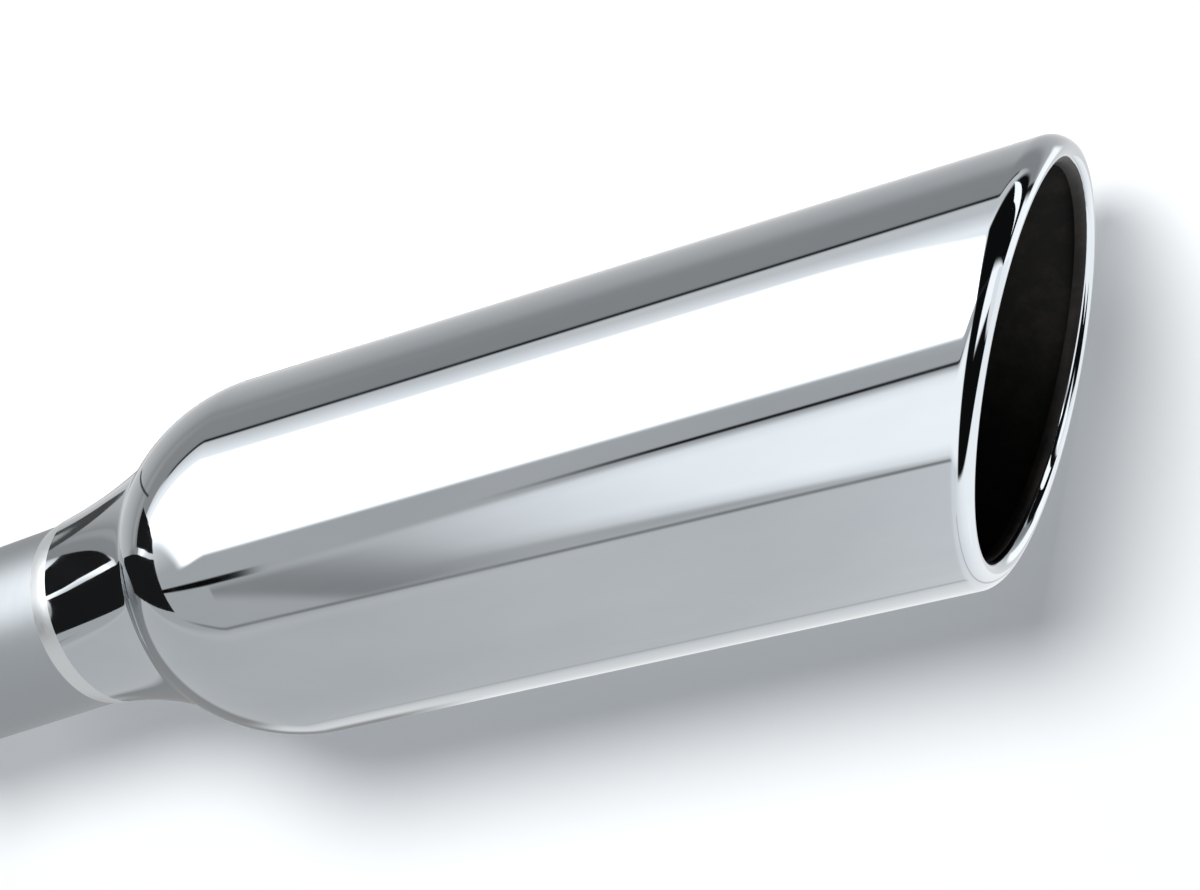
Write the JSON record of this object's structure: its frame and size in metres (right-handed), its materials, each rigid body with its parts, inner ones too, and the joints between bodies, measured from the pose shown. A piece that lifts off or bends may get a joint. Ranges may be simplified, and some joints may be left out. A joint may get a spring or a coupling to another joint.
{
  "type": "exhaust tip",
  "caption": "Polished round exhaust tip: a flared neck and rounded shoulder lead to a straight barrel with a slanted mouth whose rim is rolled in; a satin inlet pipe is welded to the neck.",
  "frame": {"origin": "centre of the inlet pipe's open end", "axes": "+X along the barrel towards the mouth, +Z towards the mouth's long side, XZ is the mirror plane"},
  "size_m": [0.3753, 0.1016, 0.1016],
  "materials": {
    "polished_steel": "mirror polished",
    "satin_steel": "satin"
  },
  "bodies": {
    "root": {"outer_shell": "polished_steel", "inlet_pipe": "satin_steel"}
  },
  "joints": []
}
